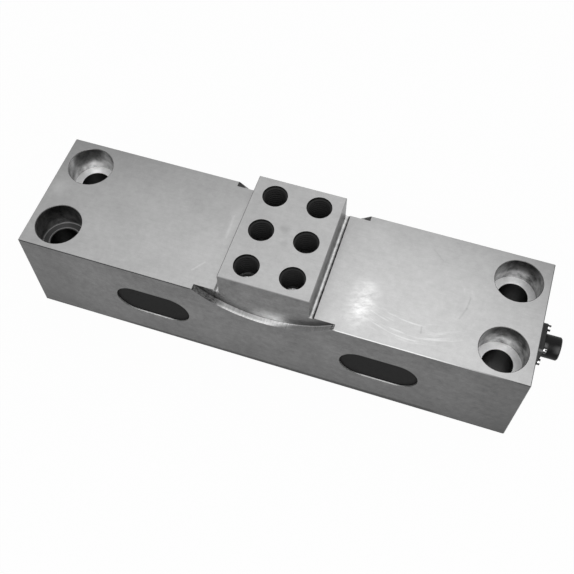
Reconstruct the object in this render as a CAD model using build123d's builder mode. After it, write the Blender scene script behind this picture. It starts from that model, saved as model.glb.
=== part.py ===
from build123d import *
import math
import os

os.makedirs("parts", exist_ok=True)

# Double-ended shear beam load cell. The origin is the centre of the beam's
# underside, +X runs along the beam to the connector end, +Z is up and -Y is
# the front face that the photo shows. All sizes are millimetres.

# Beam
beam_length = 286.0
beam_width = 76.0
beam_height = 65.5
edge_break = 0.4

# Load block, raised at mid-length
block_length = 50.5
block_height = 15.5
block_edge_break = 0.3

# Milled reliefs: a large side cutter takes a shallow segment out of the front
# and back faces, so the block's faces run on into the relief walls
relief_depth = 3.5
relief_radius = 58.5
relief_centre_above_top = 43.0

# Foot of the block: a radius that dips below the beam's top, as run-out for the
# wheel that grinds the top
foot_radius = 1.5
foot_dip = 0.9

# M14 x 2 holes in the load block, two columns of three, as bores of the thread's
# outer diameter
thread_outer_diameter = 14.2
thread_depth = 22.4
thread_column_pitch = 25.4
thread_row_pitch = 23.6
drill_tip_angle = 118.0

# Counterbored end holes for M16 socket-head screws
bolt_hole_diameter = 17.0
counterbore_diameter = 26.0
counterbore_depth = 17.0
counterbore_edge_break = 0.3
bolt_end_margin = 17.0
bolt_pitch_y = 43.0

# Gauge pockets, milled from both faces to leave a thin web between them
pocket_length = 44.4
pocket_width = 24.0
pocket_centre_x = 66.5
pocket_centre_below_top = 31.8
web_thickness = 7.0

# Connector cavity and wiring bore, drilled from the right end face
cavity_diameter = 15.0
cavity_depth = 25.0
connector_below_top = 22.1
wiring_bore_diameter = 3.6
wiring_bore_web_gap = 0.1
wiring_bore_below_connector = 1.0
wiring_bore_end_margin = 8.0

# Strain gauges and solder terminals on the web
gauge_size = 11.0
gauge_thickness = 0.2
grid_length = 5.0
grid_width = 1.8
grid_height = 0.1
grid_pitch = 5.0
grid_turn = 45.0
gauge_shift = 2.5
terminal_length = 5.0
terminal_width = 8.0
terminal_thickness = 0.8
terminal_pad_length = 3.0
terminal_pad_width = 5.0
terminal_pad_height = 0.2
terminal_shift = 8.5

# Jacketed lead wires, one from each gauge
wire_diameter = 1.1
wire_sides = 8
wire_gap = 0.1
wire_bend = 0.8
wire_reach = 1.6

# Potting plugs that close the gauge pockets
plug_recess = 0.9
plug_depth = 9.0
bond_gap = 0.02

# Connector with a square flange
gasket_thickness = 0.6
gasket_diameter = 16.4
flange_side = 18.0
flange_thickness = 3.9
flange_corner = 1.0
barrel_diameter = 13.0
barrel_end = 13.8
barrel_rim_chamfer = 0.6
barrel_wall = 1.2
rear_body_diameter = 11.6
rear_body_length = 7.0
rear_body_wall = 0.9
socket_depth = 8.0
insert_rear_setback = 1.0
insert_nose = 2.0
fit_gap = 0.02
contact_count = 4
contact_circle_diameter = 5.0
contact_diameter = 1.3
contact_nose = 4.6
board_clearance = 0.3
board_thickness = 1.0
board_gap = 3.4

# Connector screws
screw_pitch = 14.0
screw_thread_diameter = 2.0
screw_hole_depth = 9.0
screw_length = 7.5
screw_head_diameter = 3.6
screw_head_height = 1.6
screw_slot_width = 0.8
screw_slot_turn = 119.0
screw_slot_depth = 1.0

# Trim resistors on the board
resistor_length = 2.0
resistor_width = 1.3
resistor_height = 0.6
resistor_pitch = 2.2
resistor_count = 3
resistor_edge_margin = 1.4

# Derived positions
block_top = beam_height + block_height
block_width = beam_width - 2 * relief_depth
half_length = beam_length / 2
bolt_pitch_x = beam_length - 2 * bolt_end_margin
half_width = beam_width / 2
pocket_z = beam_height - pocket_centre_below_top
connector_z = beam_height - connector_below_top
web_half = web_thickness / 2
bore_y = web_half + wiring_bore_web_gap + wiring_bore_diameter / 2
bore_z = connector_z - wiring_bore_below_connector
board_diameter = cavity_diameter - 2 * board_clearance
socket_diameter = barrel_diameter - 2 * barrel_wall
insert_diameter = rear_body_diameter - 2 * rear_body_wall
flange_back = half_length + gasket_thickness
flange_front = flange_back + flange_thickness
barrel_front = half_length + barrel_end
rear_end = flange_back - rear_body_length
insert_back = rear_end + insert_rear_setback
socket_floor = barrel_front - socket_depth
board_front = insert_back - board_gap
board_back = board_front - board_thickness
terminal_face = web_half + terminal_thickness + terminal_pad_height


def side_x(side):
    """Centre of the left (-1) or right (+1) gauge pocket along X."""
    return side * pocket_centre_x


# %% Beam body: one machined bar with the load block, reliefs, pockets and holes
with BuildPart() as beam_body:
    with Locations((0, 0, beam_height / 2)):
        Box(beam_length, beam_width, beam_height)
    chamfer(beam_body.edges(), length=edge_break)

    # Load block, its top edges broken
    with BuildSketch(Plane.XY.offset(beam_height)):
        Rectangle(block_length, block_width)
    extrude(amount=block_height)
    block_rim = beam_body.faces().sort_by(Axis.Z)[-1].edges()
    chamfer(block_rim, length=block_edge_break)

    # Segment reliefs in the front and back faces
    for face_y in (-half_width, half_width - relief_depth):
        with BuildSketch(Plane.XZ.offset(-face_y)):
            with Locations((0, beam_height + relief_centre_above_top)):
                Circle(relief_radius)
        extrude(amount=-relief_depth, mode=Mode.SUBTRACT)

    # Radius at each foot of the block, running out below the beam's top
    foot_centre_z = beam_height + foot_radius - foot_dip
    for side in (-1, 1):
        foot_x = side * (block_length / 2 + foot_radius)
        with BuildSketch(Plane.XZ):
            with Locations((foot_x - side * foot_radius / 2, foot_centre_z - foot_radius / 2)):
                Rectangle(foot_radius, foot_radius)
        extrude(amount=block_width / 2, both=True)
        with BuildSketch(Plane.XZ):
            with Locations((foot_x, foot_centre_z)):
                Circle(foot_radius)
        extrude(amount=half_width, both=True, mode=Mode.SUBTRACT)

    # Threaded holes: bore to the thread's outer diameter and the drill's tip cone
    with Locations((0, 0, block_top)):
        with GridLocations(thread_column_pitch, thread_row_pitch, 2, 3):
            Hole(radius=thread_outer_diameter / 2, depth=thread_depth)
    tip_height = thread_outer_diameter / 2 / math.tan(math.radians(drill_tip_angle / 2))
    with Locations((0, 0, block_top - thread_depth - tip_height / 2)):
        with GridLocations(thread_column_pitch, thread_row_pitch, 2, 3):
            Cone(0, thread_outer_diameter / 2, tip_height, mode=Mode.SUBTRACT)

    # Counterbored end holes with broken rims
    with Locations((0, 0, beam_height)):
        with GridLocations(bolt_pitch_x, bolt_pitch_y, 2, 2):
            CounterBoreHole(
                radius=bolt_hole_diameter / 2,
                counter_bore_radius=counterbore_diameter / 2,
                counter_bore_depth=counterbore_depth,
                depth=beam_height,
            )
    rim_top = counterbore_diameter / 2 + counterbore_edge_break
    with Locations((0, 0, beam_height - counterbore_edge_break / 2)):
        with GridLocations(bolt_pitch_x, bolt_pitch_y, 2, 2):
            Cone(
                counterbore_diameter / 2,
                rim_top,
                counterbore_edge_break,
                mode=Mode.SUBTRACT,
            )

    # Gauge pockets from both faces down to the web
    pocket_depth = half_width - web_half
    for face in (-1, 1):
        mouth = Plane(origin=(0, face * half_width, pocket_z), x_dir=(1, 0, 0), z_dir=(0, face, 0))
        with BuildSketch(mouth):
            with GridLocations(2 * pocket_centre_x, 0, 2, 1):
                SlotOverall(pocket_length, pocket_width)
        extrude(amount=-pocket_depth, mode=Mode.SUBTRACT)

    # Cross holes that take the front gauges' wires through the web
    with BuildSketch(Plane.XZ):
        for side in (-1, 1):
            with Locations((side_x(side) + terminal_shift, bore_z)):
                Circle(wiring_bore_diameter / 2)
    extrude(amount=web_half, both=True, mode=Mode.SUBTRACT)

    # Connector cavity in the right end face
    with BuildSketch(Plane.YZ.offset(half_length)):
        with Locations((0, connector_z)):
            Circle(cavity_diameter / 2)
    extrude(amount=-cavity_depth, mode=Mode.SUBTRACT)

    # Wiring bore from the cavity through the right pocket to the left pocket
    bore_end = -pocket_centre_x + wiring_bore_end_margin
    with BuildSketch(Plane.YZ.offset(half_length - cavity_depth)):
        with Locations((bore_y, bore_z)):
            Circle(wiring_bore_diameter / 2)
    extrude(amount=-(half_length - cavity_depth - bore_end), mode=Mode.SUBTRACT)

    # Tapped holes for the connector's screws
    with BuildSketch(Plane.YZ.offset(half_length)):
        with Locations((0, connector_z)):
            with GridLocations(screw_pitch, screw_pitch, 2, 2):
                Circle(screw_thread_diameter / 2)
    extrude(amount=-screw_hole_depth, mode=Mode.SUBTRACT)

beam_body.part.label = "beam_body"
export_step(beam_body.part, "parts/beam_body.step")


# %% Strain gauges: a thin carrier with two foil grids at right angles
def make_gauge(side, face):
    """Gauge on the web of one pocket; face is -1 for the front, +1 for the back."""
    centre_x = side_x(side) - gauge_shift
    ground = Plane(
        origin=(centre_x, face * web_half, pocket_z), x_dir=(1, 0, 0), z_dir=(0, face, 0)
    )
    with BuildPart() as gauge:
        with BuildSketch(ground):
            Rectangle(gauge_size, gauge_size)
        extrude(amount=gauge_thickness)
        with BuildSketch(ground.offset(gauge_thickness)):
            for lean in (-1, 1):
                with Locations(Location((lean * grid_pitch / 2, 0, 0), (0, 0, lean * grid_turn))):
                    Rectangle(grid_length, grid_width)
        extrude(amount=grid_height)
    return gauge.part


# %% Solder terminals: a small laminate strip with a raised solder pad
def make_terminals(side, face):
    """Terminal strip beside the gauge; the lead wire starts on its pad."""
    centre_x = side_x(side) + terminal_shift
    ground = Plane(
        origin=(centre_x, face * web_half, pocket_z), x_dir=(1, 0, 0), z_dir=(0, face, 0)
    )
    with BuildPart() as strip:
        with BuildSketch(ground):
            Rectangle(terminal_length, terminal_width)
        extrude(amount=terminal_thickness)
        with BuildSketch(ground.offset(terminal_thickness)):
            Rectangle(terminal_pad_length, terminal_pad_width)
        extrude(amount=terminal_pad_height)
    return strip.part


# %% Potting plugs: they fill the pocket's mouth just below the face
def make_plug(side, face):
    """Potting plug of one pocket, set back a little from the face."""
    mouth = Plane(
        origin=(side_x(side), face * (half_width - plug_recess), pocket_z),
        x_dir=(1, 0, 0),
        z_dir=(0, face, 0),
    )
    with BuildPart() as plug:
        with BuildSketch(mouth):
            SlotOverall(pocket_length - 2 * bond_gap, pocket_width - 2 * bond_gap)
        extrude(amount=-plug_depth)
    return plug.part


side_names = {-1: "left", 1: "right"}
face_names = {-1: "front", 1: "back"}
for side in (-1, 1):
    for face in (-1, 1):
        place = f"{side_names[side]}_{face_names[face]}"
        for kind, maker in (
            ("strain_gauge", make_gauge),
            ("solder_terminals", make_terminals),
            ("potting_plug", make_plug),
        ):
            piece = maker(side, face)
            piece.label = f"{kind}_{place}"
            export_step(piece, f"parts/{kind}_{place}.step")


# %% Lead wires: four lanes share the wiring bore, the left pocket's run above
lane_half_pitch = (wire_diameter + wire_gap) / 2


def cut_corners(points):
    """The same route with each corner cut off, so that the wire bends in two steps."""
    corners = [Vector(*point) for point in points]
    route = [corners[0]]
    for before, corner, after in zip(corners, corners[1:], corners[2:]):
        route.append(corner + (before - corner).normalized() * wire_bend)
        route.append(corner + (after - corner).normalized() * wire_bend)
    route.append(corners[-1])
    return route


def wire_route(side, face):
    """Corner points of one lead wire, from its solder pad to the trim board."""
    start_x = side_x(side) + terminal_shift
    lane_y = bore_y + face * lane_half_pitch
    lane_z = bore_z - side * lane_half_pitch
    points = [(start_x, face * terminal_face, pocket_z)]
    if face > 0:
        points.append((start_x, lane_y, pocket_z))
    else:
        reach_y = -(terminal_face + wire_reach)
        points.append((start_x, reach_y, pocket_z))
        points.append((start_x, reach_y, lane_z))
    points.append((start_x, lane_y, lane_z))
    points.append((board_back, lane_y, lane_z))
    return points


for side in (-1, 1):
    with BuildPart() as wires:
        for face in (-1, 1):
            route = cut_corners(wire_route(side, face))
            with BuildLine() as run:
                Polyline(*route)
            with BuildSketch(Plane(origin=run.line @ 0, z_dir=run.line % 0)):
                RegularPolygon(wire_diameter / 2, wire_sides)
            sweep(path=run.line, transition=Transition.RIGHT)
    name = f"gauge_wires_{side_names[side]}"
    wires.part.label = name
    export_step(wires.part, f"parts/{name}.step")


# %% Connector gasket: a flat ring between the screws
end_plane = Plane(
    origin=(half_length, 0, connector_z), x_dir=(0, 1, 0), z_dir=(1, 0, 0)
)

with BuildPart() as connector_gasket:
    with BuildSketch(end_plane):
        Circle(gasket_diameter / 2)
        Circle(rear_body_diameter / 2 + fit_gap, mode=Mode.SUBTRACT)
    extrude(amount=gasket_thickness)

connector_gasket.part.label = "connector_gasket"
export_step(connector_gasket.part, "parts/connector_gasket.step")

# %% Connector shell: flange, round barrel and the rear body in the cavity
with BuildPart() as connector_shell:
    with BuildSketch(end_plane.offset(gasket_thickness)):
        Rectangle(flange_side, flange_side)
    extrude(amount=flange_thickness)
    corner_edges = connector_shell.edges().filter_by(Axis.X)
    chamfer(corner_edges, length=flange_corner)
    with BuildSketch(end_plane.offset(gasket_thickness)):
        Circle(rear_body_diameter / 2)
    extrude(amount=-rear_body_length)
    with BuildSketch(end_plane.offset(flange_front - half_length)):
        Circle(barrel_diameter / 2)
    extrude(amount=barrel_front - flange_front)
    barrel_rim = connector_shell.faces().sort_by(Axis.X)[-1].edges()
    chamfer(barrel_rim, length=barrel_rim_chamfer)
    with BuildSketch(end_plane.offset(barrel_end)):
        Circle(socket_diameter / 2)
    extrude(amount=-socket_depth, mode=Mode.SUBTRACT)
    with BuildSketch(end_plane.offset(barrel_end)):
        Circle(insert_diameter / 2)
    extrude(amount=-(barrel_front - rear_end), mode=Mode.SUBTRACT)
    with BuildSketch(end_plane.offset(flange_front - half_length)):
        with GridLocations(screw_pitch, screw_pitch, 2, 2):
            Circle(screw_thread_diameter / 2 + fit_gap)
    extrude(amount=-flange_thickness, mode=Mode.SUBTRACT)

connector_shell.part.label = "connector_shell"
export_step(connector_shell.part, "parts/connector_shell.step")

# %% Connector insert: the insulator that holds the contacts
with BuildPart() as connector_insert:
    with BuildSketch(end_plane.offset(insert_back - half_length)):
        Circle(insert_diameter / 2 - fit_gap)
    extrude(amount=socket_floor + insert_nose - insert_back)
    with BuildSketch(end_plane.offset(insert_back - half_length)):
        with PolarLocations(contact_circle_diameter / 2, contact_count):
            Circle(contact_diameter / 2 + fit_gap)
    extrude(amount=socket_floor + insert_nose - insert_back, mode=Mode.SUBTRACT)

connector_insert.part.label = "connector_insert"
export_step(connector_insert.part, "parts/connector_insert.step")

# %% Connector contacts: straight pins from the trim board through the insert
with BuildPart() as connector_contacts:
    with BuildSketch(end_plane.offset(board_front - half_length)):
        with PolarLocations(contact_circle_diameter / 2, contact_count):
            Circle(contact_diameter / 2)
    extrude(amount=socket_floor + insert_nose + contact_nose - board_front)

connector_contacts.part.label = "connector_contacts"
export_step(connector_contacts.part, "parts/connector_contacts.step")

# %% Trim board, soldered to the ends of the contacts inside the cavity
with BuildPart() as trim_board:
    with BuildSketch(end_plane.offset(board_front - half_length)):
        Circle(board_diameter / 2)
    extrude(amount=-board_thickness)

trim_board.part.label = "trim_board"
export_step(trim_board.part, "parts/trim_board.step")

# %% Trim resistors on the board's inner face
with BuildPart() as trim_resistors:
    resistor_y = resistor_edge_margin + resistor_length / 2 - board_diameter / 2
    with BuildSketch(end_plane.offset(board_back - half_length)):
        with Locations((resistor_y, 0)):
            with GridLocations(0, resistor_pitch, 1, resistor_count):
                Rectangle(resistor_length, resistor_width)
    extrude(amount=-resistor_height)

trim_resistors.part.label = "trim_resistors"
export_step(trim_resistors.part, "parts/trim_resistors.step")

# %% Slotted M2 cheese-head screws of the connector
with BuildPart() as connector_screws:
    with BuildSketch(end_plane.offset(flange_front - half_length)):
        with GridLocations(screw_pitch, screw_pitch, 2, 2):
            Circle(screw_thread_diameter / 2 - fit_gap)
    extrude(amount=-(flange_front - half_length + screw_length))
    with BuildSketch(end_plane.offset(flange_front - half_length)):
        with GridLocations(screw_pitch, screw_pitch, 2, 2):
            Circle(screw_head_diameter / 2)
    extrude(amount=screw_head_height)
    with BuildSketch(end_plane.offset(flange_front + screw_head_height - half_length)):
        with GridLocations(screw_pitch, screw_pitch, 2, 2):
            Rectangle(2 * screw_head_diameter, screw_slot_width, rotation=screw_slot_turn)
    extrude(amount=-screw_slot_depth, mode=Mode.SUBTRACT)

connector_screws.part.label = "connector_screws"
export_step(connector_screws.part, "parts/connector_screws.step")
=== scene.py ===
# %% [markdown]
# # Dressing a weighing load cell
# The object is a double-ended shear beam load cell: a steel bar that bridges two supports, with a
# block in the middle that carries a share of the weight of a tank or a platform. Its solids come
# from a CAD source and are loaded as a fixed frame, in metres, with the origin under the middle of
# the bar, X towards the connector, Z up and the front face at minus Y. This script gives every
# surface its finish, adds the screw threads and the fine forms that the solids leave out, and sets
# the camera, the floor and the light.

# %% Load the solids as a fixed frame
import bpy
import bmesh
import math
from mathutils import Matrix, Vector


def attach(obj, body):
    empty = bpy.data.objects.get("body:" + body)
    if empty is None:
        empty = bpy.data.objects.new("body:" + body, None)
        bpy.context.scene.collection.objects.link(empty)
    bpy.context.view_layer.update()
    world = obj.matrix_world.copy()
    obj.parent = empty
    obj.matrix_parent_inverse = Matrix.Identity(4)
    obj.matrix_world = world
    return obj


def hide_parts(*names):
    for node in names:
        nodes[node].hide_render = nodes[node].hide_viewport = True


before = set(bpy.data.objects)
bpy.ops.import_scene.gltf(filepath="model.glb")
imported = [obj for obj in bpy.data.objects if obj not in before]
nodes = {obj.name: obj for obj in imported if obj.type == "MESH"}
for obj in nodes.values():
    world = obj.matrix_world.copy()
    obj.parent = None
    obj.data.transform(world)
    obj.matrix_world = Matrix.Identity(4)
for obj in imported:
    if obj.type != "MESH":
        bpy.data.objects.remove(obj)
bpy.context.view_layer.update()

# %% [markdown]
# ## The camera
# The picture looks down on the bar from the front, steeply, with the connector end nearer. The
# place and the turn of the camera below follow from the bar's own corners and holes, seen in
# perspective, so the bar's edges run to the same vanishing points. The three directions are the
# camera's right, down and forward axes, and a Blender camera looks along its own minus Z with Y up.

# %% Stand the camera where the picture was taken
PHOTO_SIDE = 574
FOCAL_PIXELS = 859.53
SENSOR = 36.0
camera_data = bpy.data.cameras.new("studio_camera")
camera_data.sensor_width = SENSOR
camera_data.lens = FOCAL_PIXELS * SENSOR / PHOTO_SIDE
camera = bpy.data.objects.new("studio_camera", camera_data)
bpy.context.scene.collection.objects.link(camera)
right = Vector((0.94983, 0.31272, -0.00533))
down = Vector((0.26691, -0.81932, -0.50742))
forward = Vector((-0.16305, 0.48054, -0.86168))
turn = Matrix((right, -down, -forward)).transposed().to_4x4()
camera.matrix_world = Matrix.Translation((0.08369, -0.24188, 0.46211)) @ turn
bpy.context.scene.camera = camera
print("camera lens", round(camera_data.lens, 2), "mm, standing at", tuple(camera.location))

# %% [markdown]
# ## Words for building finishes
# A finish is a node tree, and most of it is arithmetic: a mask for the ground top, times a noise,
# plus a tone. Written as nodes that arithmetic is unreadable, so a small class holds one output of
# a node and lets Python's own operators add the Math nodes. Every other node comes from one method,
# which takes the node's type, its settings and the values or links of its sockets.

# %% A value that varies over a surface
class Shade:
    """One output of a node, which can be added, multiplied and compared."""

    def __init__(self, finish, socket):
        self.finish = finish
        self.socket = socket

    def reckon(self, operation, *others):
        return self.finish.node("ShaderNodeMath", {"operation": operation}, [self, *others])

    def __add__(self, other):
        return self.reckon("ADD", other)

    def __sub__(self, other):
        return self.reckon("SUBTRACT", other)

    def __rsub__(self, other):
        return self.finish.node("ShaderNodeMath", {"operation": "SUBTRACT"}, [other, self])

    def __mul__(self, other):
        return self.reckon("MULTIPLY", other)

    def __truediv__(self, other):
        return self.reckon("DIVIDE", other)

    def __gt__(self, other):
        return self.reckon("GREATER_THAN", other)

    def __lt__(self, other):
        return self.reckon("LESS_THAN", other)

    def __abs__(self):
        return self.reckon("ABSOLUTE")

    __radd__ = __add__
    __rmul__ = __mul__

    def under(self, other, mask):
        """This tone with another laid over it where the mask is 1."""
        return self + (other - self) * mask

    def ease(self, start, end):
        """0 before start, 1 after end, smooth between; start may be the larger."""
        settings = {"interpolation_type": "SMOOTHSTEP", "clamp": True}
        if start < end:
            return self.finish.node("ShaderNodeMapRange", settings, [self, start, end, 0.0, 1.0])
        return self.finish.node("ShaderNodeMapRange", settings, [self, end, start, 1.0, 0.0])


print("a shade is ready to be reckoned with")

# %% [markdown]
# A finish starts from Object coordinates, which stay with the piece from whatever side it is seen,
# and scales them to millimetres, so each number below is a size that could be measured on the bar.
# Every node but the arithmetic comes from the one method `node`: it makes the node, applies its
# settings, then fills or links its sockets. Noise, relief and the closing shader are built on it.

# %% A finish and its one way of adding a node
class Finish:
    """A material in the making."""

    def __init__(self, name):
        self.material = bpy.data.materials.new(name)
        self.material.use_nodes = True
        self.tree = self.material.node_tree
        self.tree.nodes.clear()
        coordinates = self.node("ShaderNodeTexCoord", output="Object")
        scaled = {"operation": "SCALE"}
        self.place = self.node("ShaderNodeVectorMath", scaled, {0: coordinates, "Scale": 1000.0})
        self.x, self.y, self.z = self.split(self.place)

    def node(self, kind, settings=None, sockets=None, output=0):
        """Add a node: its settings first, then the values or links of its sockets."""
        made = self.tree.nodes.new(kind)
        for key, value in (settings or {}).items():
            setattr(made, key, value)
        pairs = enumerate(sockets) if isinstance(sockets, list) else (sockets or {}).items()
        for key, value in pairs:
            if isinstance(value, Shade):
                self.tree.links.new(value.socket, made.inputs[key])
            else:
                made.inputs[key].default_value = value
        return Shade(self, made.outputs[output]) if made.outputs else None

    def split(self, vector):
        """The three parts of a vector."""
        first = self.node("ShaderNodeSeparateXYZ", None, [vector])
        return [Shade(self, part) for part in first.socket.node.outputs]

    def noise(self, scale, detail=3.0, rough=0.55, stretch=(1, 1, 1), turn=(0, 0, 0), vector=None):
        """Noise between about 0.3 and 0.7; scale is in features per millimetre."""
        spot = self.node(
            "ShaderNodeMapping",
            None,
            {"Vector": vector or self.place, "Rotation": turn, "Scale": stretch},
        )
        settings = {"noise_dimensions": "3D"}
        values = {"Vector": spot, "Scale": scale, "Detail": detail, "Roughness": rough}
        return self.node("ShaderNodeTexNoise", settings, values)

    def bump(self, height, depth):
        """Normal of a relief whose height runs from 0 to 1 over a depth in millimetres."""
        values = {"Height": height, "Strength": 1.0, "Distance": depth / 1000.0}
        return self.node("ShaderNodeBump", None, values)

    def close(self, **sockets):
        """Join the surface shader and the output; names use _ for the spaces."""
        values = {key.replace("_", " "): value for key, value in sockets.items()}
        shader = self.node("ShaderNodeBsdfPrincipled", None, values)
        self.node("ShaderNodeOutputMaterial", None, {"Surface": shader})
        return self.material


print("a finish counts in millimetres over objects in metres")

# %% [markdown]
# ## The steel bar
# The bar is alloy steel, machined all over and hardly polished. The top has been ground flat and
# rubbed by hand, which leaves clouds, wiped patches and arcs. The sides keep long streaks from the
# mill and are duller. The big counterbores are boring work with a mottled wall and a bright floor,
# and the reliefs show the feed marks of a side cutter. The few sizes that tell these places apart
# are named first.

# %% Sizes of the bar in millimetres
HALF_LENGTH, HALF_WIDTH, BAR_TOP, BLOCK_TOP = 143.0, 38.0, 65.5, 81.0
BOLT_X, BOLT_Y, COUNTERBORE_FLOOR = 126.0, 21.5, 48.5
THREAD_X, THREAD_Y = 12.7, 23.6
POCKET_X, POCKET_Z, POCKET_HALF_FLAT = 66.5, 33.7, 10.2
RELIEF_RADIUS, RELIEF_MIDDLE_Z, RELIEF_WALL_Y = 58.5, 108.5, 34.5
print("bar", 2 * HALF_LENGTH, "by", 2 * HALF_WIDTH, "by", BLOCK_TOP, "mm")

# %% [markdown]
# One node carries the whole bar, so its finish is zoned by where a point lies and which way its
# face looks, both of which a designer knows. Each zone is a mask, 1 on its own faces and 0
# elsewhere. The broken edges come last, as whatever the other zones leave over.

# %% Zones of the bar, from place and face direction
steel = Finish("machined_bar_steel")
x, y, z = steel.x, steel.y, steel.z
geometry_normal = steel.node("ShaderNodeNewGeometry", output="True Normal")
face_x, face_y, face_z = steel.split(geometry_normal)
off_x, off_y = abs(x), abs(y)

looks_up = face_z > 0.9
looks_side = abs(face_y) > 0.9
looks_end = abs(face_x) > 0.9
beam_top = looks_up * (z > 65.0)
block_top = beam_top * (z > 80.0)


def distance(across, along):
    """Distance from a point of a plane, given the two offsets from it."""
    return (across * across + along * along).reckon("SQRT")


from_bolt = distance(off_x - BOLT_X, off_y - BOLT_Y)
bored = (from_bolt < 13.36) * (z < BAR_TOP - 0.05)
counterbore_floor = bored * looks_up
through_hole = bored * (z < COUNTERBORE_FLOOR - 0.1) * (from_bolt < 8.7)
thread_row = abs(off_y - THREAD_Y).reckon("MINIMUM", off_y)
from_thread = distance(off_x - THREAD_X, thread_row)
in_thread = (from_thread < 7.3) * (z > 40.0) * (z < BLOCK_TOP - 0.05)
ledge = (face_z > 0.7) * (off_y > RELIEF_WALL_Y - 0.05)
ledge = ledge * (z > 45.0) * (z < 65.3) * (off_x < 40.5)
foot = (off_x > 25.2) * (off_x < 28.3) * (z < 66.5) * (z > 64.4) * (1 - beam_top)
flat_face = (looks_up + looks_side + looks_end + (face_z < -0.9)) > 0.5
broken_edge = (1 - flat_face) * (1 - bored) * (1 - in_thread) * (1 - ledge) * (1 - foot)
print("zones told apart by", len(steel.tree.nodes), "nodes")

# %% [markdown]
# The ground top isn't one tone. It brightens away from the left end and falls off towards the back,
# which is painted light, so its base is a smooth surface over the bar's length and width, and the
# block's own top another.
# The noises that later give the steel its clouds, mottle, grain and brushing are made here too,
# since every zone of the bar shares them.

# %% Tone of the ground top
along, across = x / HALF_LENGTH, y / HALF_WIDTH
clouds = steel.noise(0.045, detail=4.0, rough=0.6) - 0.5
mottle = steel.noise(0.3, detail=4.0, rough=0.6) - 0.5
grain = steel.noise(2.6, detail=3.0, rough=0.7) - 0.5
brushed = steel.noise(0.5, detail=4.0, rough=0.7, stretch=(0.25, 2.4, 1.0), turn=(0, 0, 0.5))
brushed = brushed - 0.5
rubbed_parts = [x * 0.95 + y * 0.31, y * 0.95 - x * 0.31, 0.0]
rubbed_way = steel.node("ShaderNodeCombineXYZ", None, rubbed_parts)
scuffs = steel.noise(0.2, detail=5.0, rough=0.65, stretch=(0.8, 1.7, 1.0), vector=rubbed_way) - 0.5

# Painted light: the top brightens towards the connector and darkens towards the back, the block's
# top too.
top_base_and_painted_light = 0.473 + along * (0.088 - along * 0.12 - along * along * 0.088)
top_base_and_painted_light = top_base_and_painted_light - across * (0.075 + across * 0.035 + along * 0.015)
top_base_and_painted_light = top_base_and_painted_light.under(0.42 + x * 0.0004 - y * 0.0008, block_top)
print("base tone of the top laid")

# %% [markdown]
# Two shapes of wear recur. A soft oval stands for a spot that a hand or a rag went over, and the
# arcs of a rotary pad are noise read in the pad's own polar coordinates, which draws it out into
# circles. The smaller the number by which the angle counts there, the longer the arcs.

# %% Patches and arcs
ARC_TURNING = 4.5


def patch(middle_x, middle_y, reach_x, reach_y):
    """A soft oval on the top, 1 in its middle."""
    away = distance((x - middle_x) / reach_x, (y - middle_y) / reach_y)
    return away.ease(1.0, 0.1) * beam_top


def pad_arcs(middle_x, middle_y, inner, outer, spacing):
    """Streaks round a pad's centre, between two radii."""
    dx, dy = x - middle_x, y - middle_y
    radius = distance(dx, dy)
    angle = dy.reckon("ARCTAN2", dx)
    polar = steel.node("ShaderNodeCombineXYZ", None, [radius, angle * ARC_TURNING, 0.0])
    streak = steel.noise(spacing, detail=2.0, rough=0.6, vector=polar).ease(0.5, 0.68)
    band = radius.ease(inner, inner + 4.0) * radius.ease(outer, outer - 4.0)
    return streak * band * beam_top


wiped = patch(49.5, -18.0, 12.5, 22.0) * (0.5 + scuffs * 2.8) * 0.3
wiped = wiped + patch(50.0, -16.5, 7.5, 19.0) * (0.6 + scuffs * 3.0) * 0.11
wiped = wiped + patch(44.0, 24.0, 12.0, 12.0) * (0.3 + scuffs * 2.0) * 0.06
arcs = pad_arcs(78.0, 30.0, 46.0, 66.0, 0.62) * patch(76.0, -26.0, 42.0, 16.0) * 0.15
arcs = arcs + pad_arcs(78.0, -2.0, 18.0, 30.0, 0.3) * patch(100.0, 0.0, 22.0, 26.0) * 0.04
rubbed_end = patch(-137.0, 2.0, 9.0, 10.0) * 0.06 + patch(-32.5, 10.0, 5.0, 22.0) * 0.05
rubbed_end = rubbed_end - x.ease(-112.0, -143.0) * 0.03
stains = patch(-0.5, 4.5, 4.5, 3.6) * 0.07 + patch(1.8, -5.0, 4.0, 3.2) * 0.05
print("wear laid on the top")

# %% [markdown]
# A scratch is a line with soft sides: the distance from a point to a stretch between two ends. Some
# are bright, where the metal was cut, and some dark, where dirt has settled in. The texture that
# all tones of the top share is gathered from a broad, a middle and a fine noise and the brushing.

# %% Scratches, and the top put together
# Each scratch: its start, end and half width, and how much lighter or darker it is
SCRATCHES = (
    ((-43.8, -26.4), (-38.8, -19.6), 0.9, 0.08),
    ((-34.2, 14.0), (-33.4, -1.0), 1.3, 0.05),
    ((103.6, 3.0), (102.9, -4.0), 0.8, -0.06),
    ((102.9, -4.0), (100.4, -11.0), 0.8, -0.06),
    ((82.9, -21.8), (83.3, -25.6), 0.7, -0.08),
    ((78.0, 27.0), (84.5, 21.5), 0.7, -0.03),
)
scratches = 0.0
for start, end, half_width, change in SCRATCHES:
    run_x, run_y = end[0] - start[0], end[1] - start[1]
    dx, dy = x - start[0], y - start[1]
    share = (dx * run_x + dy * run_y) / (run_x * run_x + run_y * run_y)
    share = share.reckon("MAXIMUM", 0.0).reckon("MINIMUM", 1.0)
    away = distance(dx - share * run_x, dy - share * run_y)
    scratches = away.ease(half_width, 0.0) * change + scratches
texture = 1 + clouds * 0.22 + mottle * 0.26 + brushed * 0.17 + grain * 0.3
top_tone = top_base_and_painted_light * texture + wiped + arcs + rubbed_end - stains + scratches
print("ground top toned, with", len(steel.tree.nodes), "nodes so far")
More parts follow.
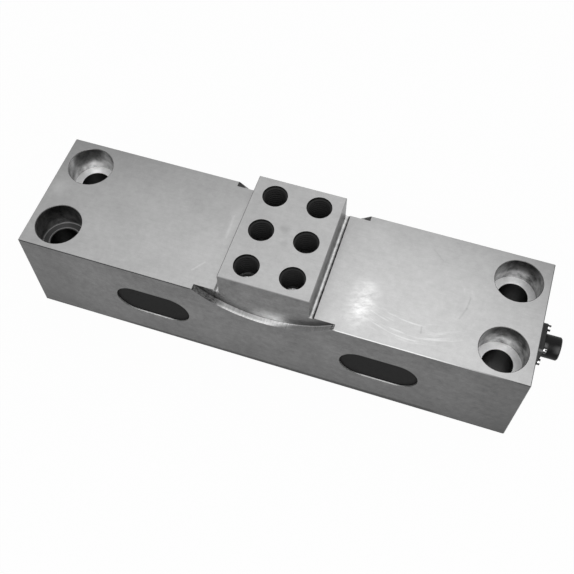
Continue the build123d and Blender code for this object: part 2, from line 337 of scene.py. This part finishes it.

# %% [markdown]
# The milled sides carry long streaks and are duller, and their tone is darkened further as painted
# shade: darker than the top, darker low down and darker towards both ends. A ragged dark line runs
# along their bottom edge, broken up by the coarse noise that also tears the steel at the left end
# of each relief. The block's own end faces are grainier, and darker low down as painted shade in
# the corner with the bar's top. The walls of the reliefs carry a painted reflection of the lit
# ledge at mid-length, painted shade near the ledge towards both ends, and a line of painted shade
# where they meet it. Tones are given as they look on screen, from 0 to 255, where one number is
# enough for a whole face, and the helper turns such a level into the linear value that a shader
# takes.

# %% Tone of the milled sides and ends
def grey(level):
    """Linear value of a grey that shows as this level of 255."""
    share = level / 255
    if share <= 0.04045:
        return share / 12.92
    return ((share + 0.055) / 1.055) ** 2.4


streaks = steel.noise(0.5, detail=4.0, rough=0.65, stretch=(0.07, 1.0, 2.6)) - 0.5
height = z / BAR_TOP
# Partly the duller milled steel, partly painted shade: darker than the top, low down and at both
# ends.
side_tone = 0.086 + height * (0.15 - height * 0.1) - along * (0.012 + along * 0.01)
side_tone = side_tone - x.ease(112.0, 143.0) * 0.024 - x.ease(-85.0, -143.0) * 0.034
above_ledge = RELIEF_RADIUS - distance(x, z - RELIEF_MIDDLE_Z)
# Painted reflection of the lit ledge on each relief wall at mid-length, painted shade near the
# ledge towards both ends.
wall_painted_reflection = x.ease(-12.0, 8.0) * x.ease(17.0, 7.0) * above_ledge.ease(12.0, 0.0) * 0.52
wall_painted_shade = x.ease(-10.0, -26.0) * above_ledge.ease(6.0, 0.0) * 0.09
wall_painted_shade = wall_painted_shade + x.ease(14.0, 32.0) * above_ledge.ease(8.0, 0.0) * 0.07
side_tone = side_tone + (off_y < 36.0) * (0.032 + wall_painted_reflection - wall_painted_shade)
side_tone = side_tone * (1 + streaks * 0.6 + clouds * 0.8 + mottle * 0.9 + grain * 1.3)
chips = steel.noise(0.8, detail=3.0, rough=0.7) - 0.5
# A ragged dark line along the bottom edge of the sides, and darker still right at the bottom.
dark_bottom_line = (z + chips * 2.4 - x * 0.006).ease(4.2, 2.6)
dark_bottom_line = dark_bottom_line * x.ease(-104.0, -78.0) * x.ease(108.0, 98.0)
side_tone = side_tone * (1 - z.ease(1.9, 0.7) * 0.4) * (1 - dark_bottom_line * 0.8)
torn_wall = x.ease(-20.0, -28.0) * (off_y < 36.0) * (z < 65.6)
side_tone = side_tone * (1 + chips * torn_wall * 6.0)
# Painted shade in the corner where each relief wall meets its ledge.
side_tone = side_tone * (1 - above_ledge.ease(1.1, 0.3) * (off_y < 36.0) * 0.5)
end_tone = grey(112) * (1 + mottle * 0.35 + clouds * 0.4)
# The block's end faces darker low down: painted shade in the corner with the bar's top; the grain
# is their own.
block_side = (z > 66.0) * (z.ease(76.0, 67.0) * 0.3 - grain * 1.2 - mottle * 0.6)
end_tone = end_tone * (1 - block_side)
print("sides and ends toned")

# %% [markdown]
# The cutter that made the reliefs left a narrow ledge below each wall. It is smooth in the middle
# and chipped where the cutter went in. Its bright middle and lighter outer edge are painted light,
# and its dull ends painted shade, and the back ledge starts with a notch of painted shadow. The
# painted light ends on a slant.

# %% Tone of the relief ledges
feed = steel.noise(0.7, detail=3.0, rough=0.6, stretch=(2.4, 0.1, 2.4)) - 0.5
# Painted light on the middle of each ledge, ending on a slant, with painted shade towards its ends.
ledge_start = (y > 0.0) * 10.0
ledge_end = (x + (off_y - 36.2) * 4.0).ease(18.0, 4.0)
ledge_painted_light = (x + ledge_start).ease(-29.0, -21.0) * ledge_end
# Painted light along the ledge's outer edge.
outer_edge_painted_light = off_y.ease(36.2, 37.6)
wall_line = off_y.ease(35.2, 34.7) * x.ease(8.0, 16.0)
ledge_tone = 0.2 + x.ease(8.0, 16.0) * 0.09 + wall_line * 0.34
ledge_tone = ledge_tone + ledge_painted_light * (0.34 + x.ease(-14.0, 6.0) * 0.3 + outer_edge_painted_light * 0.5)
chipped = x.ease(-23.0, -29.0) + x.ease(36.0, 39.0)
# Painted shadow in the notch where the back ledge starts.
notch_painted_shadow = (y > 0.0) * off_x.ease(35.4, 36.6)
ledge_tone = ledge_tone * (1 + feed * 0.7 + grain * 0.9 + mottle * 0.7 + chips * chipped * 5.0)
ledge_tone = ledge_tone * (1 - x.ease(-22.0, -30.0) * 0.4)
ledge_tone = (ledge_tone * (1 - notch_painted_shadow * 0.92)).reckon("MAXIMUM", 0.01)
print("ledges toned")

# %% [markdown]
# The counterbores are bored bright, with a mottled wall and a clean floor, and the upper back of
# each wall is darkened as painted shade. The front left one is darker all over, and only the rims
# of its floor catch light. The through holes are painted nearly black as shade. The lip of each
# gauge pocket is a narrow band between the face and the potting, bright along its middle as
# painted light.

# %% Tones of the counterbores and the pockets' lips
boring = steel.noise(0.16, detail=5.0, rough=0.62) - 0.5
# The front left counterbore darker all over.
dark_front_left_bore = (x < -100.0) * (y < 0.0) * bored
# Painted shade on the upper back of each counterbore's wall.
bore_painted_shade = (y - BOLT_Y * (y > 0.0) + BOLT_Y * (y < 0.0)).ease(3.0, 11.0) * z.ease(54.0, 64.0)
wall_tone = (0.39 - (x > 0.0) * 0.13 + boring * 1.4) * (1 - bore_painted_shade * 0.62) * (1 - dark_front_left_bore * 0.5)
floor_tone = (0.95 + mottle * 0.3) * (1 - dark_front_left_bore * 0.9)
rim_line = (abs(from_bolt - 12.75) < 0.28) + (abs(from_bolt - 9.3) < 0.22)
floor_tone = floor_tone + rim_line * dark_front_left_bore * 0.3

# Painted shade: the through holes nearly black, lighter in the back ones, darkest in the front
# right.
hole_tone = 0.035 + (y > 0.0) * ((x < 0.0) * 0.06 + 0.02) - (y < 0.0) * (x > 0.0) * 0.015
pocket_lip = (face_z > 0.3) * (off_y > 36.8) * (off_y < 37.95) * (z < 33.0)
# Painted light: the lip brightest along its middle, greyer round the pocket's ends.
lip_light = abs(off_x - POCKET_X - 1.5).ease(17.0, 6.0)
print("counterbores and lips toned")

# %% [markdown]
# The zones are laid over one another as a painter masks and sprays, the widest first, so a later
# one wins where two overlap. The front edges that face up carry a painted highlight on the
# connector's side, and so do the block's top edges that face right and front; the other broken
# edges stay dark, which is painted shade where they face down. The groove at the block's foot
# carries painted shade along its edges on the connector's side. The bottoms of the threaded holes
# carry a painted crescent of light, which reaches higher in the front left one, and their bores
# are painted nearly black as shade. The relief under the shine comes from the same noises as the
# tone, so a streak that is light is raised as well, and the finish then goes to the slots of the
# solid it belongs to.

# %% Lay the zones over each other and close the steel
def wear(material, *names):
    """Give a finish to CAD nodes by their names."""
    for name in names:
        for slot in nodes[name].material_slots:
            slot.material = material
    print(material.name, "on", len(names), "nodes")


# Painted highlight on the front top edge towards the connector and on the block's top edges facing
# right and front; other broken edges dark, painted shade where they face down.
edge_highlight_reach = x.ease(30.0, 42.0) * x.ease(HALF_LENGTH, 80.0)
edge_light = face_z.ease(-0.3, 0.3) * (y < -37.0) * edge_highlight_reach * 0.7 + 0.05
edge_light = edge_light + (z > 80.0) * (face_x - face_y).ease(0.2, 0.6) * 0.22
tone = side_tone.under(end_tone, looks_end)
tone = tone.under(top_tone, beam_top)
# Painted shade along the edges of the groove at the block's foot, on the connector's side.
foot_tone = 0.5 + mottle * 0.7 + grain * 0.5 - x.ease(27.0, 27.5) * 0.44
foot_tone = foot_tone - x.ease(25.8, 25.2) * (x > 0.0) * 0.2
tone = tone.under(foot_tone.reckon("MAXIMUM", 0.03), foot)
tone = tone.under(ledge_tone, ledge)
tone = tone.under(edge_light, broken_edge)
tone = tone.under(0.2 + lip_light * (0.75 + mottle * 1.2), pocket_lip)
tone = tone.under(wall_tone, bored * (1 - looks_up))
tone = tone.under(floor_tone, counterbore_floor)
tone = tone.under(hole_tone + mottle * 0.03, through_hole)
rim = (from_bolt > 12.99) * (from_bolt < 13.4) * (z > BAR_TOP - 0.4) * (1 - looks_up)
tone = tone.under(0.1 + boring * 0.2, rim)
# Painted crescent of light at the bottoms of the threaded holes, reaching higher in the front left
# one; their bores are painted nearly black as shade.
front_left_hole_light = (x < 0.0) * (y < 0.0) * 2.2
hole_bottom = (z - front_left_hole_light).ease(61.6, 60.6) * 0.4
tone = tone.under(0.02 + mottle * 0.02 + hole_bottom, in_thread)
roughness = 0.36 + grain * 0.16 + clouds * 0.12 + ledge * 0.12 + counterbore_floor * 0.1
metal = 0.8 + bored * 0.15 - counterbore_floor * 0.35 - ledge * 0.55 - pocket_lip * 0.7
relief = grain * 0.35 + mottle * 0.3 + brushed * beam_top * 0.5 + streaks * looks_side * 0.8
relief = relief + feed * ledge * 2.0
steel_normal = steel.bump(relief, 0.03)
bar_steel = steel.close(
    Base_Color=tone,
    Roughness=roughness,
    Metallic=metal,
    Normal=steel_normal,
)
wear(bar_steel, "beam_body")

# %% [markdown]
# ## Screw threads in the load block
# The six holes of the block take M14 bolts. The solids carry a plain bore of the thread's outer
# diameter, and the ridges stand in it here. They could be a relief in the finish only, but they
# show against the light at the holes' mouths, so they are worth real form. Modelling operators act
# on all that is selected, and the solids arrive selected, so two helpers come first: one drops
# every selection, the other picks the vertices, edges or faces of a piece by a test.

# %% Helpers for selecting
def leave_objects():
    """Back to object mode with nothing selected."""
    if bpy.context.object and bpy.context.object.mode != "OBJECT":
        bpy.ops.object.mode_set(mode="OBJECT")
    bpy.ops.object.select_all(action="DESELECT")


def pick(piece, kind, test):
    """Select in edit mode the verts, edges or faces of a piece that pass a test."""
    bpy.ops.mesh.select_all(action="DESELECT")
    bpy.context.tool_settings.mesh_select_mode = (kind == "verts", kind == "edges", kind == "faces")
    shape = bmesh.from_edit_mesh(piece.data)
    for part in getattr(shape, kind):
        if test(part):
            part.select_set(True)
    shape.select_flush_mode()
    bmesh.update_edit_mesh(piece.data)


leave_objects()
print("selected objects:", len(bpy.context.selected_objects))

# %% [markdown]
# A thread is a small trapezoid swept along a helix. The section is a plane stood upright, made as
# deep as the thread and narrowed towards its crest. Its root reaches a little into the steel, so no
# gap shows. The Screw modifier then winds it down the bore, and the two open ends are closed.

# %% Wind one thread
THREAD_PITCH = 0.002
THREAD_ROOT = 0.00714
THREAD_CREST = 0.00592
THREAD_TURNS = 9
STEPS_PER_TURN = 28

bpy.ops.mesh.primitive_plane_add(size=1.0, location=(0, 0, 0))
thread = bpy.context.object
thread.name = "block_thread_1"
bpy.ops.object.mode_set(mode="EDIT")
bpy.ops.mesh.select_all(action="SELECT")
bpy.ops.transform.rotate(value=math.pi / 2, orient_axis="X", center_override=(0, 0, 0))
middle = (THREAD_ROOT + THREAD_CREST) / 2
depth = THREAD_ROOT - THREAD_CREST
bpy.ops.transform.resize(value=(depth, 1, THREAD_PITCH * 0.46), center_override=(0, 0, 0))
bpy.ops.transform.translate(value=(middle, 0, 0))
pick(thread, "verts", lambda vert: vert.co.x < middle)
bpy.ops.transform.resize(value=(1, 1, 0.27), center_override=(middle, 0, 0))
pick(thread, "verts", lambda vert: vert.co.x > middle)
bpy.ops.transform.resize(value=(1, 1, 1.9), center_override=(middle, 0, 0))
bpy.ops.mesh.select_all(action="SELECT")
bpy.ops.mesh.delete(type="ONLY_FACE")
leave_objects()
thread.select_set(True)
bpy.context.view_layer.objects.active = thread
screw = thread.modifiers.new("wind", "SCREW")
screw.axis = "Z"
screw.angle = 2 * math.pi
screw.screw_offset = -THREAD_PITCH
screw.iterations = THREAD_TURNS
screw.steps = STEPS_PER_TURN
screw.render_steps = STEPS_PER_TURN
bpy.ops.object.modifier_apply(modifier=screw.name)
bpy.ops.object.mode_set(mode="EDIT")
pick(thread, "edges", lambda edge: edge.is_boundary)
bpy.ops.mesh.edge_face_add()
leave_objects()
print("one thread:", len(thread.data.vertices), "vertices")

# %% [markdown]
# A tapped hole is countersunk at its mouth, so the first turn doesn't start full. A boolean cut by
# a cone would leave slivers there, so the points that stand inside the cone are pushed out onto it,
# and none comes above the block's top.

# %% Countersink the first turn
FIRST_TURN_DROP = 0.0012
MOUTH_RADIUS = 0.0071
BELOW_TOP = 0.00005

pushed_out = 0
for vert in thread.data.vertices:
    vert.co.z -= FIRST_TURN_DROP
    reach = math.hypot(vert.co.x, vert.co.y)
    cone = min(MOUTH_RADIUS - max(-vert.co.z, 0.0), THREAD_ROOT)
    if reach < cone:
        vert.co.x *= cone / reach
        vert.co.y *= cone / reach
        pushed_out += 1
    vert.co.z = min(vert.co.z, -BELOW_TOP)
print("points on the countersink:", pushed_out)

# %% [markdown]
# Cut threads are darker than ground steel, and their near black is painted shade, since little
# light gets down into a tapped hole. Painted light lies on the lowest turns of the front left hole.
# The other five holes get copies, each with a mesh of its own. A copy is moved in its mesh, so that
# every object stays at the origin, as the solids do, and its noise doesn't repeat.

# %% Finish the thread and stand one in each hole
def own_copy(piece, name):
    """A copy of a piece with a mesh of its own."""
    twin = piece.copy()
    twin.data = piece.data.copy()
    twin.name = name
    bpy.context.scene.collection.objects.link(twin)
    return twin


cut_steel = Finish("cut_thread_steel")
turning = cut_steel.noise(1.4, detail=3.0, stretch=(1.0, 1.0, 3.0))
# Painted light on the lowest turns of the front left hole.
front_left_hole_light = cut_steel.z.ease(64.4, 62.8) * (cut_steel.x < 0.0) * (cut_steel.y < -15.0)
cut_tone = grey(44) * (0.7 + turning * 0.6) + front_left_hole_light * 0.28
thread_steel = cut_steel.close(
    Base_Color=cut_tone,
    Roughness=0.6 + turning * 0.2,
    Metallic=0.3,
    Specular_IOR_Level=0.2,
    Normal=cut_steel.bump(turning, 0.02),
)
thread.data.materials.clear()
thread.data.materials.append(thread_steel)
hole_places = [(column * THREAD_X, row * THREAD_Y) for column in (-1, 1) for row in (-1, 0, 1)]
threads = [thread] + [own_copy(thread, f"block_thread_{count}") for count in range(2, 7)]
for piece, (hole_x, hole_y) in zip(threads, hole_places):
    hole_top = Vector((hole_x, hole_y, BLOCK_TOP)) / 1000
    piece.data.transform(Matrix.Translation(hole_top))
    leave_objects()
    piece.select_set(True)
    bpy.context.view_layer.objects.active = piece
    bpy.ops.object.mode_set(mode="EDIT")
    bpy.ops.mesh.select_all(action="SELECT")
    bpy.ops.mesh.normals_make_consistent(inside=False)
    leave_objects()
    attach(piece, "root")
print("threads stand in", len(threads), "holes")

# %% [markdown]
# ## Poured gauge pockets
# The gauge pockets are filled with a black potting compound that levels itself before it sets, so
# its face is smooth and slightly clouded. It is a soft rubber with hardly any shine. Towards the
# pocket's wall it is darker, where the wall keeps the light away: the distance from the stadium's
# middle line gives that rim.

# %% Potting compound: colour and a clouded skin
potting = Finish("black_potting")
cloud = potting.noise(0.12, detail=3.0)
past_flat = (abs(abs(potting.x) - POCKET_X) - POCKET_HALF_FLAT).reckon("MAXIMUM", 0.0)
from_middle = distance(past_flat, potting.z - POCKET_Z)
shaded_rim = from_middle.ease(9.8, 11.7)
speck = potting.noise(2.2, detail=3.0)
potting_skin = potting.close(
    Base_Color=grey(24) * (0.75 + cloud * 0.5) * (1 - shaded_rim * 0.75),
    Roughness=0.7 + (speck - 0.5) * 0.2,
    Specular_IOR_Level=0.12,
    Normal=potting.bump(cloud + speck * 0.2, 0.08),
)
wear(potting_skin, *[name for name in nodes if name.startswith("potting_plug")])

# %% [markdown]
# Poured compound wets the steel and climbs the pocket's wall a little, so its face is a shallow
# dish with a raised rim. The plug is a plane with its corners rounded off until it is a stadium,
# extruded into the pocket, with its face set in three times, each time a little less deep.

# %% Shape one plug
PLUG_FACE_Y = -0.0371
PLUG_LENGTH = 0.04436
PLUG_WIDTH = 0.02396
PLUG_DEPTH = 0.009
CLIMB = 0.00012
MERGE_WITHIN = 0.00005

leave_objects()
bpy.ops.mesh.primitive_plane_add(size=1.0, location=(0, 0, 0), rotation=(math.pi / 2, 0, 0))
plug = bpy.context.object
plug.name = "poured_plug_left_front"
bpy.ops.object.transform_apply(location=False, rotation=True, scale=False)
bpy.ops.object.mode_set(mode="EDIT")
bpy.ops.mesh.select_all(action="SELECT")
bpy.ops.transform.resize(value=(PLUG_LENGTH, 1, PLUG_WIDTH), center_override=(0, 0, 0))
bpy.ops.mesh.bevel(offset=PLUG_WIDTH / 2, segments=24, affect="VERTICES")
bpy.ops.mesh.select_all(action="SELECT")
bpy.ops.mesh.remove_doubles(threshold=MERGE_WITHIN)
bpy.ops.mesh.select_all(action="SELECT")
bpy.ops.transform.translate(value=(0, -CLIMB, 0))
depth_move = {"value": (0, PLUG_DEPTH + CLIMB, 0)}
bpy.ops.mesh.extrude_region_move(TRANSFORM_OT_translate=depth_move)
bpy.ops.mesh.select_all(action="SELECT")
bpy.ops.mesh.normals_make_consistent(inside=False)
pick(plug, "faces", lambda face: face.normal.y < -0.9)
bpy.ops.mesh.inset(thickness=0.0005, depth=-CLIMB * 0.6)
bpy.ops.mesh.inset(thickness=0.0011, depth=-CLIMB * 0.35)
bpy.ops.mesh.inset(thickness=0.002, depth=-CLIMB * 0.1)
leave_objects()
plug.select_set(True)
bpy.context.view_layer.objects.active = plug
bpy.ops.object.shade_smooth_by_angle(angle=math.radians(50))
plug.data.materials.append(potting_skin)
print("one plug:", len(plug.data.polygons), "faces")

# %% [markdown]
# The other three are copies. A plug for the back face is the front one after half a turn, and a
# blank one is kept aside to copy from while the first goes to its place. Each hides the plain plug
# of the solids and stands for it, and the hidden one still serves where pieces collide.

# %% Set a plug in each of the four pockets
half_turn = Matrix.Rotation(math.pi, 4, "Z")
for side, side_name in ((-1, "left"), (1, "right")):
    for face_sign, face_name in ((-1, "front"), (1, "back")):
        place_name = f"{side_name}_{face_name}"
        first = place_name == "left_front"
        poured = plug if first else own_copy(blank_plug, f"poured_plug_{place_name}")
        if first:
            blank_plug = own_copy(plug, "blank_plug")
        if face_sign > 0:
            poured.data.transform(half_turn)
        pocket = (side * POCKET_X / 1000, -face_sign * PLUG_FACE_Y, POCKET_Z / 1000)
        poured.data.transform(Matrix.Translation(pocket))
        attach(poured, "root")
        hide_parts(f"potting_plug_{place_name}")
bpy.data.objects.remove(blank_plug)
print("plugs poured in four pockets")

# %% [markdown]
# ## The connector
# Its shell is a turned barrel on a square flange, painted a satin black. Black paint is never quite
# black, and hands rub it thin in places. A painted highlight runs along the barrel's upper side
# near both ends and painted light lies on the flange's edge, both laid by the face's direction and
# broken by a noise.

# %% The painted shell
shell = Finish("black_painted_shell")
speck = shell.noise(3.0, detail=4.0)
rub = shell.noise(0.5, detail=4.0)
turned = shell.node("ShaderNodeNewGeometry", output="True Normal")
_, shell_y, shell_z = shell.split(turned)
# Painted highlight along the barrel's upper side near both ends, and painted light on the flange's
# edge.
crest = (shell_z * 0.8 - shell_y * 0.6).ease(0.9, 1.0)
flange_painted_light = (shell.x < 147.2) * (shell_z - shell_y).ease(0.8, 1.0) * (0.3 + rub) * 0.035
shell_painted_highlight = crest * (shell.x.ease(150.5, 148.5) + shell.x.ease(152.0, 156.0) * 0.5) * (0.3 + rub)
wear(
    shell.close(
        Base_Color=grey(14) * (0.5 + rub) + shell_painted_highlight * 0.2 + flange_painted_light,
        Roughness=0.4 + (rub - 0.5) * 0.3,
        Specular_IOR_Level=0.12,
        Normal=shell.bump(speck, 0.02),
    ),
    "connector_shell",
)

# %% [markdown]
# The gasket is a flat ring of rubber that is pressed under the flange. Rubber is dull all over, so
# a high roughness and a fine speck are enough.

# %% The rubber gasket
rubber = Finish("gasket_rubber")
speck = rubber.noise(2.0, detail=4.0)
wear(
    rubber.close(
        Base_Color=grey(30) * (0.7 + speck * 0.6),
        Roughness=0.7 + (speck - 0.5) * 0.2,
        Normal=rubber.bump(speck, 0.03),
    ),
    "connector_gasket",
)

# %% [markdown]
# The insert that holds the contacts is moulded plastic, a little lighter than the shell and
# smoother than the rubber.

# %% The moulded insert
moulded = Finish("moulded_insert")
speck = moulded.noise(1.2, detail=4.0)
wear(
    moulded.close(
        Base_Color=grey(42) * (0.8 + speck * 0.4),
        Roughness=0.5 + (speck - 0.5) * 0.2,
        Normal=moulded.bump(speck, 0.02),
    ),
    "connector_insert",
)

# %% [markdown]
# The flange screws are polished, so they are small mirrors. They show the black flange from most
# sides and the bright room from above and in front, so their tone is dark with a bright side, laid
# by the direction of the face.

# %% The polished flange screws
polished = Finish("polished_screws")
speck = polished.noise(1.6, detail=4.0)
head_normal = polished.node("ShaderNodeNewGeometry", output="True Normal")
_, head_y, head_z = polished.split(head_normal)
mirrored_room = (head_z * 0.86 - head_y * 0.5).ease(0.86, 0.97)
wear(
    polished.close(
        Base_Color=grey(42) * (0.5 + speck) + mirrored_room * 0.85,
        Roughness=0.28 + (speck - 0.5) * 0.25,
        Metallic=0.85,
        Normal=polished.bump(speck, 0.02),
    ),
    "connector_screws",
)

# %% [markdown]
# ## The pieces inside
# The contacts are gold plated. The gauges, their terminals, the lead wires and the trim board are
# closed in by the potting and the shell, but each has its own finish, so that the model can be
# taken apart. These finishes differ only in their two colours, the size of their grain and their
# gloss, so one function makes them all.

# %% A finish in two tones
def colour(red, green, blue):
    """Linear colour from three levels of 255."""
    return (grey(red), grey(green), grey(blue), 1.0)


def two_tone(name, dark, light, scale, roughness, metallic=0.0):
    """A finish that wanders between two colours, with a fine relief."""
    made = Finish(name)
    grainy = made.noise(scale, detail=4.0)
    share = grainy.ease(0.35, 0.65)
    mixed = made.node(
        "ShaderNodeMix", {"data_type": "RGBA"}, {0: share, 6: dark, 7: light}, output=2
    )
    return made.close(
        Base_Color=mixed,
        Roughness=roughness + (grainy - 0.5) * 0.2,
        Metallic=metallic,
        Normal=made.bump(grainy, 0.01),
    )


def named(start):
    """Names of the CAD nodes that start this way."""
    return [name for name in nodes if name.startswith(start)]


gold = two_tone(
    "gold_plated_contacts", colour(190, 150, 80), colour(222, 186, 110), 2.0, 0.25, 0.95
)
wear(gold, "connector_contacts")
foil = two_tone("gauge_foil", colour(170, 128, 60), colour(206, 166, 90), 1.5, 0.4, 0.5)
wear(foil, *named("strain_gauge"))
strip = two_tone("terminal_laminate", colour(140, 104, 50), colour(168, 130, 70), 1.0, 0.55)
wear(strip, *named("solder_terminals"))
jacket = two_tone("wire_jacket", colour(188, 186, 180), colour(214, 212, 206), 0.8, 0.45)
wear(jacket, *named("gauge_wires"))
board = two_tone("trim_board_laminate", colour(26, 74, 40), colour(40, 96, 54), 1.2, 0.4)
wear(board, "trim_board")
ceramic = two_tone("resistor_ceramic", colour(30, 30, 32), colour(52, 52, 54), 2.0, 0.5)
wear(ceramic, "trim_resistors")

# %% [markdown]
# ## Floor and light
# The bar stands on a plain pale floor that the camera, and the metal that mirrors it, see nearly
# white. More light would burn out the steel, so the white is mixed in by the kind of ray instead,
# and a small share of plain shading stays in the mix, which keeps the bar's shadow.

# %% Floor
FLOOR_SIDE = 6.0
FLOOR_DROP = 0.0002


def seen_plainly(finish):
    """1 for rays that look at a thing: the camera's, mirrored and refracted ones."""
    rays = [
        finish.node("ShaderNodeLightPath", output=name)
        for name in ("Is Camera Ray", "Is Glossy Ray", "Is Transmission Ray")
    ]
    return rays[0].reckon("MAXIMUM", rays[1]).reckon("MAXIMUM", rays[2])


leave_objects()
bpy.ops.mesh.primitive_plane_add(size=FLOOR_SIDE, location=(0, 0, -FLOOR_DROP))
floor = bpy.context.object
floor.name = "floor"
pale = Finish("pale_floor")
soft = pale.noise(0.01, detail=2.0)
matt_values = {"Base Color": 0.74 + soft * 0.06, "Roughness": 1.0, "Specular IOR Level": 0.0}
matt = pale.node("ShaderNodeBsdfPrincipled", None, matt_values)
white = pale.node("ShaderNodeEmission", None, {"Color": (1, 1, 1, 1), "Strength": 1.0})
share = seen_plainly(pale) * 0.97
mixed = pale.node("ShaderNodeMixShader", None, [share, matt, white])
pale.node("ShaderNodeOutputMaterial", None, {"Surface": mixed})
floor.data.materials.append(pale.material)

print("floor laid", floor.dimensions.x, "m wide")

# %% [markdown]
# The world is white for the same rays, and a quiet light for the bar. It is built with the same
# words as a finish, except that it has no surface to read coordinates from.

# %% World
world = bpy.data.worlds.new("studio")
bpy.context.scene.world = world
world.use_nodes = True
world.node_tree.nodes.clear()


class Surround(Finish):
    """The world's node tree, built with the same words."""

    def __init__(self, tree):
        self.tree = tree


studio = Surround(world.node_tree)
quiet = studio.node("ShaderNodeBackground", None, {"Color": (1, 1, 1, 1), "Strength": 0.45})
plain = studio.node("ShaderNodeBackground", None, {"Color": (1, 1, 1, 1), "Strength": 1.0})
around = studio.node("ShaderNodeMixShader", None, [seen_plainly(studio), quiet, plain])
studio.node("ShaderNodeOutputWorld", None, {"Surface": around})
print("world joined with", len(world.node_tree.nodes), "nodes")

# %% [markdown]
# Machined steel looks best in broad, soft light. A large lamp stands behind and to the right, and a
# smaller one in front opens up the milled side and the reliefs. The top brightens towards the
# connector and the front stays darker partly by this light and partly by the painted light and
# shade in the steel's tones.

# %% Lamps
def soft_lamp(name, place, target, size, power):
    """A square area lamp at a place, facing a target."""
    lamp_data = bpy.data.lights.new(name, "AREA")
    lamp_data.shape = "SQUARE"
    lamp_data.size = size
    lamp_data.energy = power
    lamp = bpy.data.objects.new(name, lamp_data)
    bpy.context.scene.collection.objects.link(lamp)
    aim = (Vector(target) - Vector(place)).to_track_quat("-Z", "Y").to_matrix().to_4x4()
    lamp.matrix_world = Matrix.Translation(place) @ aim
    print("lamp", name, power, "W")


soft_lamp("key_lamp", (0.9, 0.9, 1.4), (0.05, 0, 0.05), 2.2, 7.0)
soft_lamp("front_lamp", (0.3, -1.0, 1.5), (0, 0, 0.05), 1.0, 12.0)
bpy.context.scene.view_settings.view_transform = "Standard"
